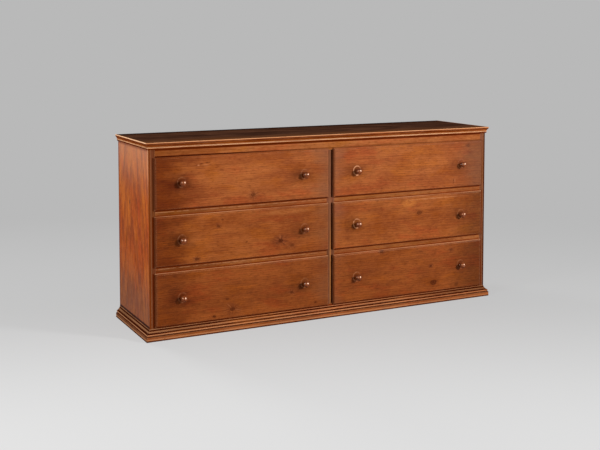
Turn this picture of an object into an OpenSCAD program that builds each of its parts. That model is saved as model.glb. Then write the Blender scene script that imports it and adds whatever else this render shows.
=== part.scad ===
// Shaker counter: a long low case with two banks of three lipped drawers.
// The front faces -Y, the floor is z = 0 and the origin lies under the middle of the whole piece.

/* [Case] */
// Width over the two side boards
case_w = 1722; // [1400:1:2200]
// Depth of the side boards, front to back
case_d = 430; // [340:1:600]
// Thickness of the side boards
side_t = 22; // [16:1:28]
// Thickness of the partition between the two banks
partition_t = 20; // [14:1:30]
// Thickness of the bottom board
bottom_t = 20; // [12:1:28]
// Depth of the grooves that take the bottom board in the side boards
side_dado = 8; // [4:1:10]
// Depth of the grooves that take the partition in the top and bottom boards
partition_dado = 5; // [3:1:8]
// Smallest gap left in a glued joint
joint_gap = 0.1; // [0.05:0.05:0.3]

/* [Heights, from the floor up] */
// Floor to the lower edge of the lowest drawer lips
foot_show = 54; // [50:1:90]
// Height of the lowest drawers over their lips
lower_lip_h = 230; // [150:1:300]
// Height of the middle drawers over their lips
middle_lip_h = 216; // [150:1:300]
// Height of the top drawers over their lips
upper_lip_h = 224; // [150:1:300]
// Rail that shows between one row of drawers and the next
rail_show = 25; // [16:1:50]
// Rail that shows between the top drawers and the bead
top_rail_show = 34; // [20:1:70]

/* [Top] */
// Thickness of the top board
top_t = 20; // [18:1:30]
// How far the top board stands out in front and at the sides
top_overhang = 13; // [11:1:36]
// Height of the square edge above the cove
top_edge_h = 7; // [4:1:9]
// Width of the fillet between the square edge and the cove
top_fillet = 1.5; // [0.5:0.5:3]
// Height of the bead under the top
bead_h = 10; // [8:1:11]
// How far the bead stands out
bead_out = 6; // [6:1:10]

/* [Base moulding] */
// How far the plinth stands out
plinth_out = 19; // [17:1:30]
// Height of the plinth
plinth_h = 21; // [12:1:24]
// Height of the bead above the plinth
base_bead_h = 12; // [8:1:14]
// How far the base bead stands out
base_bead_out = 16; // [12:1:16]
// Height of the hollow above the base bead
hollow_h = 17; // [8:1:20]
// How far the foot of the hollow stands out
hollow_out = 9; // [6:1:10]
// Thickness of the hollow's upper edge
hollow_tip = 1; // [0.5:0.5:3]

/* [Face frame] */
// Thickness of the stiles and rails
frame_t = 22; // [18:1:30]
// Edge of the side board that shows beside a stile
side_edge_show = 8; // [5:1:12]
// Width of the two outer stiles
stile_w = 21; // [20:1:50]
// Width of the stile between the banks
centre_stile_w = 38; // [34:1:80]
// Length of the tenons on the rails
tenon_l = 14; // [8:1:16]
// Thickness of the tenons
tenon_t = 8; // [5:1:10]
// Shoulder above and below a tenon
tenon_shoulder = 4; // [2:1:8]

/* [Back boards] */
// Thickness of the back boards
back_t = 12; // [9:1:18]
// Number of back boards, one above the other
back_board_n = 4; // [2:1:6]
// Overlap of one back board on the next
back_lap = 8; // [4:1:12]
// Width of the step in the side boards that takes the back boards
back_step = 10; // [8:1:12]
// Height of the lowest back board's edge above the floor
back_lift = 25; // [10:1:35]

/* [Drawers] */
// Thickness of the lip that stands in front of the frame
lip_t = 10; // [8:1:14]
// How far the lip covers the frame all round
lip_overlap = 6; // [4:1:9]
// Radius of the rounded edge of the lip
lip_r = 6; // [3:0.5:7]
// Step between the drawer's face and its rounded edge
lip_step = 1.2; // [0.5:0.1:2]
// Thickness of the front behind the lip
tongue_t = 12; // [10:1:16]
// Thickness of the drawer sides
drawer_side_t = 12; // [10:1:16]
// Thickness of the drawer backs
drawer_back_t = 12; // [9:1:16]
// Thickness of the drawer bottoms
panel_t = 10; // [7:1:12]
// Thickness of a drawer bottom's thinned edge
panel_edge_t = 5; // [4:1:6]
// Width of the bevel under a drawer bottom
panel_bevel = 26; // [15:1:40]
// Depth of the groove for the drawer bottom
groove_d = 6; // [4:1:7]
// Height of the groove above the drawer's lower edge
groove_up = 8; // [7:1:14]
// Gap beside the drawer
drawer_side_gap = 1.5; // [0.5:0.1:3]
// Gap above the drawer
drawer_top_gap = 3; // [1:0.5:6]
// Gap behind the closed drawer
drawer_rear_gap = 18; // [4:1:40]
// Running gap under the drawer and behind its lip
slide_gap = 0.3; // [0.2:0.05:0.6]
// Number of dovetails at a front corner
dovetail_n = 4; // [3:1:6]
// Share of the drawer side's height that the tails take
tail_share = 0.62; // [0.5:0.01:0.7]
// Flare of each flank of a tail
tail_flare = 2; // [1:0.25:3]

/* [Knobs] */
// Diameter of the knob's head
knob_d = 28; // [24:1:36]
// How far the knob stands out of the drawer front
knob_reach = 28; // [22:1:34]
// Height of the domed top of the knob
knob_dome = 8; // [5:1:12]
// Diameter of the knob's neck
knob_neck_d = 15; // [13:1:20]
// Diameter of the knob's foot on the drawer front
knob_foot_d = 19; // [16:1:24]
// Diameter of the tenon that goes through the drawer front
knob_tenon_d = 12; // [8:1:12]
// Distance of a knob from the nearer end of the lip
knob_inset = 122; // [60:1:200]

/* [Runners] */
// How far a runner reaches past the edge of the opening, under the drawer's side
runner_bearing = 16; // [14:1:30]
// Height of a drawer runner
runner_h = 20; // [12:1:30]
// Height of a drawer guide above its runner
guide_h = 20; // [10:1:30]

/* [Nails] */
// Thickness of a back nail's shank
nail_t = 2.6; // [2:0.1:3.5]
// Length of a back nail
nail_l = 38; // [30:1:50]
// Width of a nail head
nail_head = 5; // [4:0.5:7]
// Thickness of the nail and brad heads
nail_head_t = 1.2; // [0.8:0.1:2]
// Thickness of a moulding brad's shank
brad_t = 1.8; // [1.2:0.1:2.4]
// Length of the brads in the base moulding
base_brad_l = 34; // [28:1:38]
// Length of the brads in the bead
bead_brad_l = 22; // [16:1:28]
// Width of a brad's head
brad_head = 3; // [2.5:0.5:4]
// Number of brads along the front mouldings
front_brad_n = 7; // [3:1:11]
// Number of brads along a side moulding
side_brad_n = 3; // [2:1:5]
// Distance of the end brads from the corner
brad_inset = 60; // [40:1:120]

/* [Hidden] */
$fn = 64;

// Heights of the rows, from the lowest up: lip edges, then the openings behind them
lip_heights = [lower_lip_h, middle_lip_h, upper_lip_h];
lip_bottoms = [
    foot_show,
    foot_show + lower_lip_h + rail_show,
    foot_show + lower_lip_h + middle_lip_h + 2 * rail_show
];
lip_top = lip_bottoms[2] + upper_lip_h;
top_under = lip_top + top_rail_show + bead_h;
height = top_under + top_t;
function hole_bottom(row) = lip_bottoms[row] + lip_overlap;
function hole_top(row) = lip_bottoms[row] + lip_heights[row] - lip_overlap;
function hole_h(row) = hole_top(row) - hole_bottom(row);

// Depths: the knobs reach furthest forward, the back boards lie flush with the side boards
front_reach = max(top_overhang, plinth_out, slide_gap + lip_t + knob_reach);
back_y = (case_d + front_reach) / 2;
front_y = back_y - case_d;
frame_back_y = front_y + frame_t;
back_face_y = back_y - back_t;

// Widths of the openings and of what stands beside them
side_in = case_w / 2 - side_t;
hole_out = case_w / 2 - side_edge_show - stile_w;
hole_in = centre_stile_w / 2;
hole_w = hole_out - hole_in;
bank_x = (hole_out + hole_in) / 2;

// The drawer's box, measured from the lower edge of its own sides
box_w = hole_w - 2 * drawer_side_gap;
box_l = case_d - back_t - drawer_rear_gap;
function box_h(row) = hole_h(row) - drawer_top_gap - slide_gap;
box_in_w = box_w - 2 * drawer_side_t;
groove_h = panel_edge_t + 2 * joint_gap;
panel_top = groove_up + panel_edge_t + joint_gap;

// Bearers of the frame as [lower edge, upper edge], from the floor up
RAILS = [
    [0, hole_bottom(0)],
    [hole_top(0), hole_bottom(1)],
    [hole_top(1), hole_bottom(2)],
    [hole_top(2), top_under]
];
tenon_y = front_y + (frame_t - tenon_t) / 2;
grow = [joint_gap, joint_gap, joint_gap];

lip_w = hole_w + 2 * lip_overlap;
knob_x = lip_w / 2 - knob_inset;
knob_cove_r = (knob_reach - knob_dome) / 2;
cut = 1;

ROWS = ["lower", "middle", "upper"];
BANKS = ["left", "right"];
PIECES = ["front", "left_side", "right_side", "back", "bottom", "knobs"];
function drawer_node(row, bank, piece) = str(ROWS[row], "_", BANKS[bank], "_drawer_", piece);
DRAWER_NODES = [for (r = [0 : 2]) for (b = [0 : 1]) for (p = PIECES) drawer_node(r, b, p)];

case_brown = [0.48, 0.25, 0.13];
top_brown = [0.26, 0.17, 0.11];
moulding_brown = [0.62, 0.38, 0.22];
drawer_brown = [0.58, 0.32, 0.17];
knob_brown = [0.36, 0.19, 0.10];
bare_pine = [0.78, 0.64, 0.44];
iron_grey = [0.20, 0.19, 0.18];

// A box from its lowest corner to its highest
module span(low, high) {
    translate(low)
        cube(high - low);
}

// A profile drawn as (x, z) and run along Y from y0 to y1
module along_y(y0, y1) {
    translate([0, y1, 0])
        rotate([90, 0, 0])
            linear_extrude(y1 - y0)
                children();
}

// A profile drawn as (y, z) and run along X from x0 to x1
module along_x(x0, x1) {
    translate([x0, 0, 0])
        rotate([90, 0, 90])
            linear_extrude(x1 - x0)
                children();
}

// Edge of the top board, as (distance out from the case, height): square above, cove below
module top_edge() {
    cove_h = top_t - top_edge_h;
    difference() {
        translate([-cut, 0])
            square([top_overhang + cut, top_t]);
        translate([top_overhang - top_fillet, -cut])
            square([top_fillet + cut, cove_h + cut]);
        translate([bead_out + cove_h, 0])
            circle(cove_h);
    }
}

// The top board with its moulded edge in front and at both sides, plain at the back
module top_board() {
    color(top_brown)
        difference() {
            intersection() {
                along_y(front_y - top_overhang, back_y)
                    translate([0, top_under]) {
                        translate([-case_w / 2, 0])
                            square([case_w, top_t]);
                        for (s = [0, 1])
                            mirror([s, 0])
                                translate([case_w / 2, 0])
                                    top_edge();
                    }
                along_x(-case_w / 2 - top_overhang, case_w / 2 + top_overhang)
                    translate([front_y, top_under]) {
                        square([case_d, top_t]);
                        mirror([1, 0])
                            top_edge();
                    }
            }
            span(
                [-partition_t / 2 - joint_gap, frame_back_y, top_under - cut],
                [partition_t / 2 + joint_gap, back_face_y, top_under + partition_dado + joint_gap]
            );
        }
}

// Bead that covers the joint under the top, as (distance out from the case, height)
module bead_profile() {
    r = bead_h / 2;
    square([bead_out - r, bead_h]);
    translate([bead_out - r, r])
        circle(r);
}

// Base moulding, as (distance out from the case, height): plinth, bead, then a hollow
module base_profile() {
    bead_r = base_bead_h / 2;
    hollow_z = plinth_h + base_bead_h;
    square([plinth_out, plinth_h]);
    translate([0, plinth_h])
        square([base_bead_out - bead_r, base_bead_h]);
    translate([base_bead_out - bead_r, plinth_h + bead_r])
        circle(bead_r);
    difference() {
        translate([0, hollow_z])
            square([hollow_out, hollow_h]);
        translate([hollow_tip + hollow_h, hollow_z + hollow_h])
            circle(hollow_h);
    }
}

// A front moulding between its two mitres
module front_moulding(out) {
    intersection() {
        along_x(-case_w / 2 - out, case_w / 2 + out)
            translate([front_y, 0])
                mirror([1, 0])
                    children();
        linear_extrude(height)
            polygon([
                [-case_w / 2 - out, front_y - out],
                [case_w / 2 + out, front_y - out],
                [case_w / 2, front_y],
                [-case_w / 2, front_y]
            ]);
    }
}

// A moulding along the right side, from its front mitre to the back
module side_moulding(out) {
    intersection() {
        along_y(front_y - out, back_y)
            translate([case_w / 2, 0])
                children();
        linear_extrude(height)
            polygon([
                [case_w / 2, front_y],
                [case_w / 2 + out, front_y - out],
                [case_w / 2 + out, back_y],
                [case_w / 2, back_y]
            ]);
    }
}

// A square nail driven along +Y from its head at y = 0
module nail(thick, head, length, gap = 0, mouth = 0) {
    span(
        [-thick / 2 - gap, -mouth, -thick / 2 - gap],
        [thick / 2 + gap, length + gap, thick / 2 + gap]
    );
    span(
        [-head / 2 - gap, -mouth, -thick / 2 - gap],
        [head / 2 + gap, nail_head_t + gap, thick / 2 + gap]
    );
}

module back_nail() nail(nail_t, nail_head, nail_l);
module back_nail_hole() nail(nail_t, nail_head, nail_l, joint_gap, cut);
module base_brad() nail(brad_t, brad_head, base_brad_l);
module base_brad_hole() nail(brad_t, brad_head, base_brad_l, joint_gap, cut);
module bead_brad() nail(brad_t, brad_head, bead_brad_l);
module bead_brad_hole() nail(brad_t, brad_head, bead_brad_l, joint_gap, cut);

// Places along a front moulding that stands out by the given width
module at_front(out, z) {
    step = (case_w - 2 * brad_inset) / (front_brad_n - 1);
    for (i = [0 : front_brad_n - 1])
        translate([-case_w / 2 + brad_inset + i * step, front_y - out, z])
            children();
}

// Places along the moulding on the right side
module at_side(out, z) {
    step = (case_d - 2 * brad_inset) / (side_brad_n - 1);
    for (i = [0 : side_brad_n - 1])
        translate([case_w / 2 + out, front_y + brad_inset + i * step, z])
            rotate([0, 0, 90])
                children();
}

module at_base_front() at_front(plinth_out, plinth_h / 2) children();
module at_base_side() at_side(plinth_out, plinth_h / 2) children();
module at_bead_front() at_front(bead_out, top_under - bead_h / 2) children();
module at_bead_side() at_side(bead_out, top_under - bead_h / 2) children();

// Height of the joint under a back board
function back_z(i) = back_lift + i * (top_under - back_lift) / back_board_n;

// Two places near the ends of each back board's height, at the given distance from the middle
module at_back(x) {
    for (i = [0 : back_board_n - 1], share = [0.25, 0.75])
        translate([x, back_y, back_z(i) + share * (back_z(1) - back_z(0))])
            rotate([0, 0, 180])
                children();
}

back_nail_x = side_in + back_step / 2;

// The right side board: steps for the stile and the back boards, groove for the bottom board
module side_board() {
    difference() {
        span([side_in, front_y, 0], [case_w / 2, back_y, top_under]);
        span(
            [side_in - cut, front_y - cut, -cut],
            [case_w / 2 - side_edge_show, frame_back_y, top_under + cut]
        );
        span(
            [side_in - cut, back_face_y, -cut],
            [side_in + back_step, back_y + cut, top_under + cut]
        );
        span(
            [side_in - cut, frame_back_y - cut, hole_bottom(0) - bottom_t - joint_gap],
            [side_in + side_dado, back_face_y + cut, hole_bottom(0) + joint_gap]
        );
        at_back(back_nail_x)
            back_nail_hole();
        at_base_side()
            base_brad_hole();
        at_bead_side()
            bead_brad_hole();
    }
}

module left_side() {
    color(case_brown)
        mirror([1, 0, 0])
            side_board();
}

module right_side() {
    color(case_brown)
        side_board();
}

// Upright board between the banks, let into the top and bottom boards
module centre_partition() {
    color(bare_pine)
        difference() {
            span(
                [-partition_t / 2, frame_back_y, hole_bottom(0) - partition_dado],
                [partition_t / 2, back_face_y, top_under + partition_dado]
            );
            at_back(0)
                back_nail_hole();
        }
}

// Bottom board, level with the top of the bottom rail so that the lowest drawers run on it
module bottom_board() {
    half = side_in + side_dado - joint_gap;
    color(bare_pine)
        difference() {
            span(
                [-half, frame_back_y, hole_bottom(0) - bottom_t],
                [half, back_face_y, hole_bottom(0)]
            );
            span(
                [-partition_t / 2 - joint_gap, frame_back_y - cut, hole_bottom(0) - partition_dado],
                [partition_t / 2 + joint_gap, back_face_y + cut, hole_bottom(0) + cut]
            );
        }
}

// Level boards across the back, each lapped half its thickness over the one below
module back_boards() {
    half = side_in + back_step - joint_gap;
    mid_y = back_face_y + back_t / 2;
    color(bare_pine)
        difference() {
            for (i = [0 : back_board_n - 1]) {
                low = back_z(i) + (i > 0 ? joint_gap : 0);
                high = back_z(i + 1);
                union() {
                    span([-half, back_face_y, low], [half, mid_y, high]);
                    span([-half, mid_y, low], [half, back_y, high - (i < back_board_n - 1 ? back_lap : 0)]);
                    if (i > 0)
                        span([-half, mid_y + joint_gap, low - back_lap], [half, back_y, low]);
                }
            }
            for (x = [-back_nail_x, 0, back_nail_x])
                at_back(x)
                    back_nail_hole();
        }
}

// Tenon on a rail's end at x, reaching along X in the given direction
function tenon_box(x, way, rail) = [
    [min(x, x + way * tenon_l), tenon_y, rail[0] + tenon_shoulder],
    [max(x, x + way * tenon_l), tenon_y + tenon_t, rail[1] - tenon_shoulder]
];

// Tenon on the centre stile's end at z, reaching up or down
function stile_tenon_box(z, way) = [
    [-hole_in + tenon_shoulder, tenon_y, min(z, z + way * tenon_l)],
    [hole_in - tenon_shoulder, tenon_y + tenon_t, max(z, z + way * tenon_l)]
];

module mortise(box) {
    span(box[0] - grow, box[1] + grow);
}

// A rail between x0 and x1; one bar through it makes the tenons at both ends
module rail(x0, x1, edges) {
    span([x0, front_y, edges[0]], [x1, frame_back_y, edges[1]]);
    left = tenon_box(x0, -1, edges);
    right = tenon_box(x1, 1, edges);
    span(left[0], right[1]);
}

// The right outer stile, let into the step of the side board
module outer_stile() {
    difference() {
        span([hole_out, front_y, 0], [case_w / 2 - side_edge_show, frame_back_y, top_under]);
        for (edges = RAILS)
            mortise(tenon_box(hole_out, 1, edges));
    }
}

module left_stile() {
    color(case_brown)
        mirror([1, 0, 0])
            outer_stile();
}

module right_stile() {
    color(case_brown)
        outer_stile();
}

// Stile between the banks, tenoned into the bottom and top rails
module centre_stile() {
    foot = stile_tenon_box(RAILS[0][1], -1);
    head = stile_tenon_box(RAILS[3][0], 1);
    color(case_brown)
        difference() {
            union() {
                span([-hole_in, front_y, RAILS[0][1]], [hole_in, frame_back_y, RAILS[3][0]]);
                span(foot[0], head[1]);
            }
            for (edges = [RAILS[1], RAILS[2]]) {
                mortise(tenon_box(-hole_in, 1, edges));
                mortise(tenon_box(hole_in, -1, edges));
            }
        }
}

module top_rail() {
    color(case_brown)
        difference() {
            rail(-hole_out, hole_out, RAILS[3]);
            mortise(stile_tenon_box(RAILS[3][0], 1));
            at_bead_front()
                bead_brad_hole();
        }
}

module bottom_rail() {
    color(case_brown)
        difference() {
            rail(-hole_out, hole_out, RAILS[0]);
            mortise(stile_tenon_box(RAILS[0][1], -1));
            at_base_front()
                base_brad_hole();
        }
}

module upper_rail_left() {
    color(case_brown)
        rail(-hole_out, -hole_in, RAILS[2]);
}

module upper_rail_right() {
    color(case_brown)
        rail(hole_in, hole_out, RAILS[2]);
}

module lower_rail_left() {
    color(case_brown)
        rail(-hole_out, -hole_in, RAILS[1]);
}

module lower_rail_right() {
    color(case_brown)
        rail(hole_in, hole_out, RAILS[1]);
}

module top_moulding_front() {
    color(moulding_brown)
        difference() {
            front_moulding(bead_out)
                translate([0, top_under - bead_h])
                    bead_profile();
            at_bead_front()
                bead_brad_hole();
        }
}

module top_moulding_side() {
    difference() {
        side_moulding(bead_out)
            translate([0, top_under - bead_h])
                bead_profile();
        at_bead_side()
            bead_brad_hole();
    }
}

module top_moulding_left() {
    color(moulding_brown)
        mirror([1, 0, 0])
            top_moulding_side();
}

module top_moulding_right() {
    color(moulding_brown)
        top_moulding_side();
}

module base_moulding_front() {
    color(moulding_brown)
        difference() {
            front_moulding(plinth_out)
                base_profile();
            at_base_front()
                base_brad_hole();
        }
}

module base_moulding_side() {
    difference() {
        side_moulding(plinth_out)
            base_profile();
        at_base_side()
            base_brad_hole();
    }
}

module base_moulding_left() {
    color(moulding_brown)
        mirror([1, 0, 0])
            base_moulding_side();
}

module base_moulding_right() {
    color(moulding_brown)
        base_moulding_side();
}

// Strips under the middle and top drawers, and above the top ones so that they don't tip when open
module drawer_runners() {
    color(bare_pine)
        for (z = [hole_bottom(1) - runner_h, hole_bottom(2) - runner_h, hole_top(2)], s = [0, 1])
            mirror([s, 0, 0]) {
                span(
                    [hole_out - runner_bearing, frame_back_y, z],
                    [side_in, back_face_y, z + runner_h]
                );
                span(
                    [partition_t / 2, frame_back_y, z],
                    [hole_in + runner_bearing, back_face_y, z + runner_h]
                );
            }
}

// Strips beside each drawer that fill out to the edge of its opening
module drawer_guides() {
    color(bare_pine)
        for (row = [0 : 2], s = [0, 1])
            mirror([s, 0, 0]) {
                span(
                    [hole_out, frame_back_y, hole_bottom(row)],
                    [side_in, back_face_y, hole_bottom(row) + guide_h]
                );
                span(
                    [partition_t / 2, frame_back_y, hole_bottom(row)],
                    [hole_in, back_face_y, hole_bottom(row) + guide_h]
                );
            }
}

module cut_nails() {
    color(iron_grey) {
        for (x = [-back_nail_x, 0, back_nail_x])
            at_back(x)
                back_nail();
        at_base_front()
            base_brad();
        at_bead_front()
            bead_brad();
        for (s = [0, 1])
            mirror([s, 0, 0]) {
                at_base_side()
                    base_brad();
                at_bead_side()
                    bead_brad();
            }
    }
}

// Dovetails as (y, z) shapes: n tails up a board of height h, narrow at root_y and wide at end_y
module tails(h, n, root_y, end_y, gap = 0, past = 0) {
    way = sign(end_y - root_y);
    pitch = h / n;
    wide = way * (tail_share * pitch / 2 + gap);
    narrow = wide - way * tail_flare;
    for (i = [0 : n - 1])
        translate([0, (i + 0.5) * pitch])
            polygon([
                [root_y - way * cut, -narrow],
                [root_y, -narrow],
                [end_y, -wide],
                if (past > 0) [end_y + way * past, -wide],
                if (past > 0) [end_y + way * past, wide],
                [end_y, wide],
                [root_y, narrow],
                [root_y - way * cut, narrow]
            ]);
}

// Section of a lip w wide as (along, out of the case): straight edge, rounded corner, small step
module lip_profile(w) {
    r = min(lip_r, lip_t - lip_step - cut);
    shoulder = lip_t - lip_step - r;
    intersection() {
        translate([-w / 2, 0])
            square([w, lip_t]);
        union() {
            translate([-w / 2, 0])
                square([w, shoulder]);
            translate([-w / 2 + r, 0])
                square([w - 2 * r, lip_t]);
            for (s = [-1, 1])
                translate([s * (w / 2 - r), shoulder])
                    circle(r);
        }
    }
}

// The sockets that a row of tails leaves in a board which ends at the drawer's outer faces
module sockets(h, n, root_y, end_y, past) {
    for (s = [0, 1])
        mirror([s, 0, 0])
            along_x(box_in_w / 2 - joint_gap, box_w / 2 + cut)
                tails(h, n, root_y, end_y, joint_gap, past);
}

// Drawer front: lip in front of the frame, tongue inside the opening, sockets for the sides
module drawer_front(row) {
    lip_h = lip_heights[row];
    lip_low = -lip_overlap - slide_gap;
    difference() {
        union() {
            translate([0, -slide_gap, lip_low])
                intersection() {
                    linear_extrude(lip_h)
                        mirror([0, 1])
                            lip_profile(lip_w);
                    along_x(-lip_w / 2, lip_w / 2)
                        translate([0, lip_h / 2])
                            rotate(90)
                                lip_profile(lip_h);
                }
            span([-box_w / 2, -slide_gap - cut, 0], [box_w / 2, tongue_t, box_h(row)]);
        }
        sockets(box_h(row), dovetail_n, tongue_t, 0, joint_gap);
        span(
            [-box_in_w / 2, tongue_t - groove_d, groove_up],
            [box_in_w / 2, tongue_t + cut, groove_up + groove_h]
        );
        for (s = [-1, 1])
            translate([s * knob_x, tongue_t + cut, lip_low + lip_h / 2])
                rotate([90, 0, 0])
                    cylinder(h = lip_t + slide_gap + tongue_t + 2 * cut, d = knob_tenon_d + 2 * joint_gap);
    }
}

// The right side of a drawer, with tails at both ends and the groove for the bottom
module drawer_side(row) {
    h = box_h(row);
    difference() {
        along_x(box_in_w / 2, box_w / 2) {
            translate([tongue_t, 0])
                square([box_l - drawer_back_t - tongue_t, h]);
            translate([tongue_t, 0])
                square([box_l - tongue_t, panel_top]);
            tails(h, dovetail_n, tongue_t, 0);
            translate([0, panel_top])
                tails(h - panel_top, dovetail_n - 1, box_l - drawer_back_t, box_l);
        }
        span(
            [box_in_w / 2 - cut, tongue_t, groove_up],
            [box_in_w / 2 + groove_d, box_l + cut, groove_up + groove_h]
        );
    }
}

// Drawer back, standing on the drawer bottom between the sides' last tails
module drawer_back(row) {
    difference() {
        span(
            [-box_w / 2, box_l - drawer_back_t, panel_top],
            [box_w / 2, box_l, box_h(row)]
        );
        translate([0, 0, panel_top])
            sockets(box_h(row) - panel_top, dovetail_n - 1, box_l - drawer_back_t, box_l, cut);
    }
}

// Drawer bottom, bevelled underneath in front and at both sides, slid in from behind
module drawer_bottom() {
    half = box_in_w / 2 + groove_d - joint_gap;
    flat = half - groove_d - panel_bevel;
    front_edge = tongue_t - groove_d + joint_gap;
    edge_z = panel_top - panel_edge_t;
    low_z = panel_top - panel_t;
    difference() {
        intersection() {
            along_y(front_edge, box_l)
                polygon([
                    [-half, panel_top], [-half, edge_z], [-half + groove_d, edge_z], [-flat, low_z],
                    [flat, low_z], [half - groove_d, edge_z], [half, edge_z], [half, panel_top]
                ]);
            along_x(-half, half)
                polygon([
                    [front_edge, panel_top], [front_edge, edge_z], [front_edge + groove_d, edge_z],
                    [front_edge + groove_d + panel_bevel, low_z], [box_l, low_z], [box_l, panel_top]
                ]);
        }
        for (s = [0, 1])
            mirror([s, 0, 0])
                span(
                    [box_in_w / 2 - joint_gap, front_edge - cut, low_z - cut],
                    [half + cut, tongue_t + joint_gap, panel_top + cut]
                );
    }
}

// Half section of a turned knob as (radius, height above the drawer's face), with its tenon
module knob_profile() {
    dome_r = (knob_d * knob_d / 4 + knob_dome * knob_dome) / (2 * knob_dome);
    rim_h = knob_reach - knob_dome;
    translate([0, -lip_t - slide_gap - tongue_t])
        square([knob_tenon_d / 2, lip_t + slide_gap + tongue_t]);
    difference() {
        union() {
            square([knob_foot_d / 2, rim_h / 2]);
            translate([0, rim_h / 2])
                square([knob_d / 2, rim_h / 2]);
        }
        translate([knob_neck_d / 2 + knob_cove_r, rim_h / 2])
            circle(knob_cove_r);
    }
    intersection() {
        translate([0, knob_reach - dome_r])
            circle(dome_r);
        translate([0, rim_h])
            square([knob_d / 2, knob_dome]);
    }
}

// A drawer's two knobs
module drawer_knobs(row) {
    for (s = [-1, 1])
        translate([
            s * knob_x,
            -slide_gap - lip_t,
            lip_heights[row] / 2 - lip_overlap - slide_gap
        ])
            rotate([90, 0, 0])
                rotate_extrude()
                    knob_profile();
}

// One piece of one drawer, in its place in the case
module drawer_piece(row, bank, piece) {
    translate([(bank == 0 ? -1 : 1) * bank_x, front_y, hole_bottom(row) + slide_gap]) {
        if (piece == "front")
            color(drawer_brown)
                drawer_front(row);
        if (piece == "left_side")
            color(bare_pine)
                mirror([1, 0, 0])
                    drawer_side(row);
        if (piece == "right_side")
            color(bare_pine)
                drawer_side(row);
        if (piece == "back")
            color(bare_pine)
                drawer_back(row);
        if (piece == "bottom")
            color(bare_pine)
                drawer_bottom();
        if (piece == "knobs")
            color(knob_brown)
                drawer_knobs(row);
    }
}

top_board();
top_moulding_front();
top_moulding_left();
top_moulding_right();
left_side();
right_side();
centre_partition();
bottom_board();
back_boards();
left_stile();
centre_stile();
right_stile();
top_rail();
upper_rail_left();
upper_rail_right();
lower_rail_left();
lower_rail_right();
bottom_rail();
base_moulding_front();
base_moulding_left();
base_moulding_right();
drawer_runners();
drawer_guides();
cut_nails();
for (r = [0 : 2], b = [0, 1], p = PIECES)
    drawer_piece(r, b, p);
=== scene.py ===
import math

import bpy
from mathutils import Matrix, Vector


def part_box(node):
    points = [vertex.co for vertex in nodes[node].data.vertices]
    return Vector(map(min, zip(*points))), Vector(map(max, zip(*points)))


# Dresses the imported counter: stained pine case and drawers, worn mouldings, maple knobs, bare pine inside.
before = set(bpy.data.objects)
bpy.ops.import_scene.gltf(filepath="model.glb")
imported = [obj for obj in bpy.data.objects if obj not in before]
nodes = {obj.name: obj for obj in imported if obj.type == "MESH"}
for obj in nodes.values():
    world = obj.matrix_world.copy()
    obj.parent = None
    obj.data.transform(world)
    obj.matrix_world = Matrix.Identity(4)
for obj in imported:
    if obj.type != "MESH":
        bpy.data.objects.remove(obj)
bpy.context.view_layer.update()

ROWS, BANKS = ("upper", "middle", "lower"), ("left", "right")
DRAWERS = [f"{row}_{bank}_drawer" for row in ROWS for bank in BANKS]
X, Y, Z = 0, 1, 2
MM_PER_M = 1000


def corners(name):
    """A node's lowest and highest corners at rest, in mm."""
    return [corner * MM_PER_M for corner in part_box(name)]


# Places on the counter in mm, as the CAD has them; EDGE_SHOWN is how much of a side board shows beside a
# stile
FRONT_Y = corners("top_rail")[0].y
CASE_X = corners("right_side")[1].x
SIDE_TOP_Z = corners("right_side")[1].z
STRIP_X = corners("right_stile")[1].x
EDGE_SHOWN = 8
LIPS = [[corner.z for corner in corners(f"{row}_left_drawer_front")] for row in ROWS]
BASE_TOP_Z = corners("base_moulding_front")[1].z
top_low, top_high = corners("top_board")
TOP_LOW_Z, TOP_Z = top_low.z, top_high.z
TOP_FRONT_Y, TOP_BACK_Y, TOP_SIDE_X = top_low.y, top_high.y, top_high.x

EASED = {"interpolation_type": "SMOOTHSTEP"}
WOOD_IOR = 1.5


def linear(colour):
    """An sRGB hex colour as linear RGBA."""
    parts = [int(colour[i : i + 2], 16) / 255 for i in (0, 2, 4)]
    return [c / 12.92 if c <= 0.04045 else ((c + 0.055) / 1.055) ** 2.4 for c in parts] + [1.0]


def put(tree, kind, *values, out=0, sockets=None, **settings):
    """Adds a node with its settings and links, and returns one of its outputs, or all with out=None."""
    node = tree.nodes.new("ShaderNode" + kind)
    for name, value in settings.items():
        setattr(node, name, value)
    wanted = {i: v for i, v in enumerate(values) if v is not None}
    wanted.update(sockets or {})
    for key, value in wanted.items():
        if isinstance(value, bpy.types.NodeSocket):
            tree.links.new(value, node.inputs[key])
        else:
            node.inputs[key].default_value = linear(value) if isinstance(value, str) else value
    return node.outputs[out] if out is not None and node.outputs else node.outputs


def start(name):
    """A new material with an empty node tree, and that tree."""
    material = bpy.data.materials.new(name)
    material.use_nodes = True
    material.node_tree.nodes.clear()
    return material, material.node_tree


def coat(tree, ground, paint, *amounts, way="MIX"):
    """Lays a coat of colour over the ground, as thick as all its amounts multiplied together."""
    thick = amounts[0]
    for amount in amounts[1:]:
        thick = put(tree, "Math", thick, amount, operation="MULTIPLY")
    return put(tree, "Mix", sockets={0: thick, 6: ground, 7: paint}, data_type="RGBA", blend_type=way, out=2)


def board_place(tree, along, across, shift=(0, 0, 0)):
    """Places on a board in mm, as (along its grain, across its face, into it), with the shift to its own wood
    and without it, and the plain x, y and z."""
    spot = put(tree, "TexCoord", out="Object")
    spot = put(tree, "VectorMath", spot, (MM_PER_M, MM_PER_M, MM_PER_M), operation="MULTIPLY")
    xyz = put(tree, "SeparateXYZ", spot, out=None)
    home = put(tree, "CombineXYZ", *(xyz[i] for i in (along, across, 3 - along - across)))
    return put(tree, "VectorMath", home, shift, operation="ADD"), home, xyz


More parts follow.
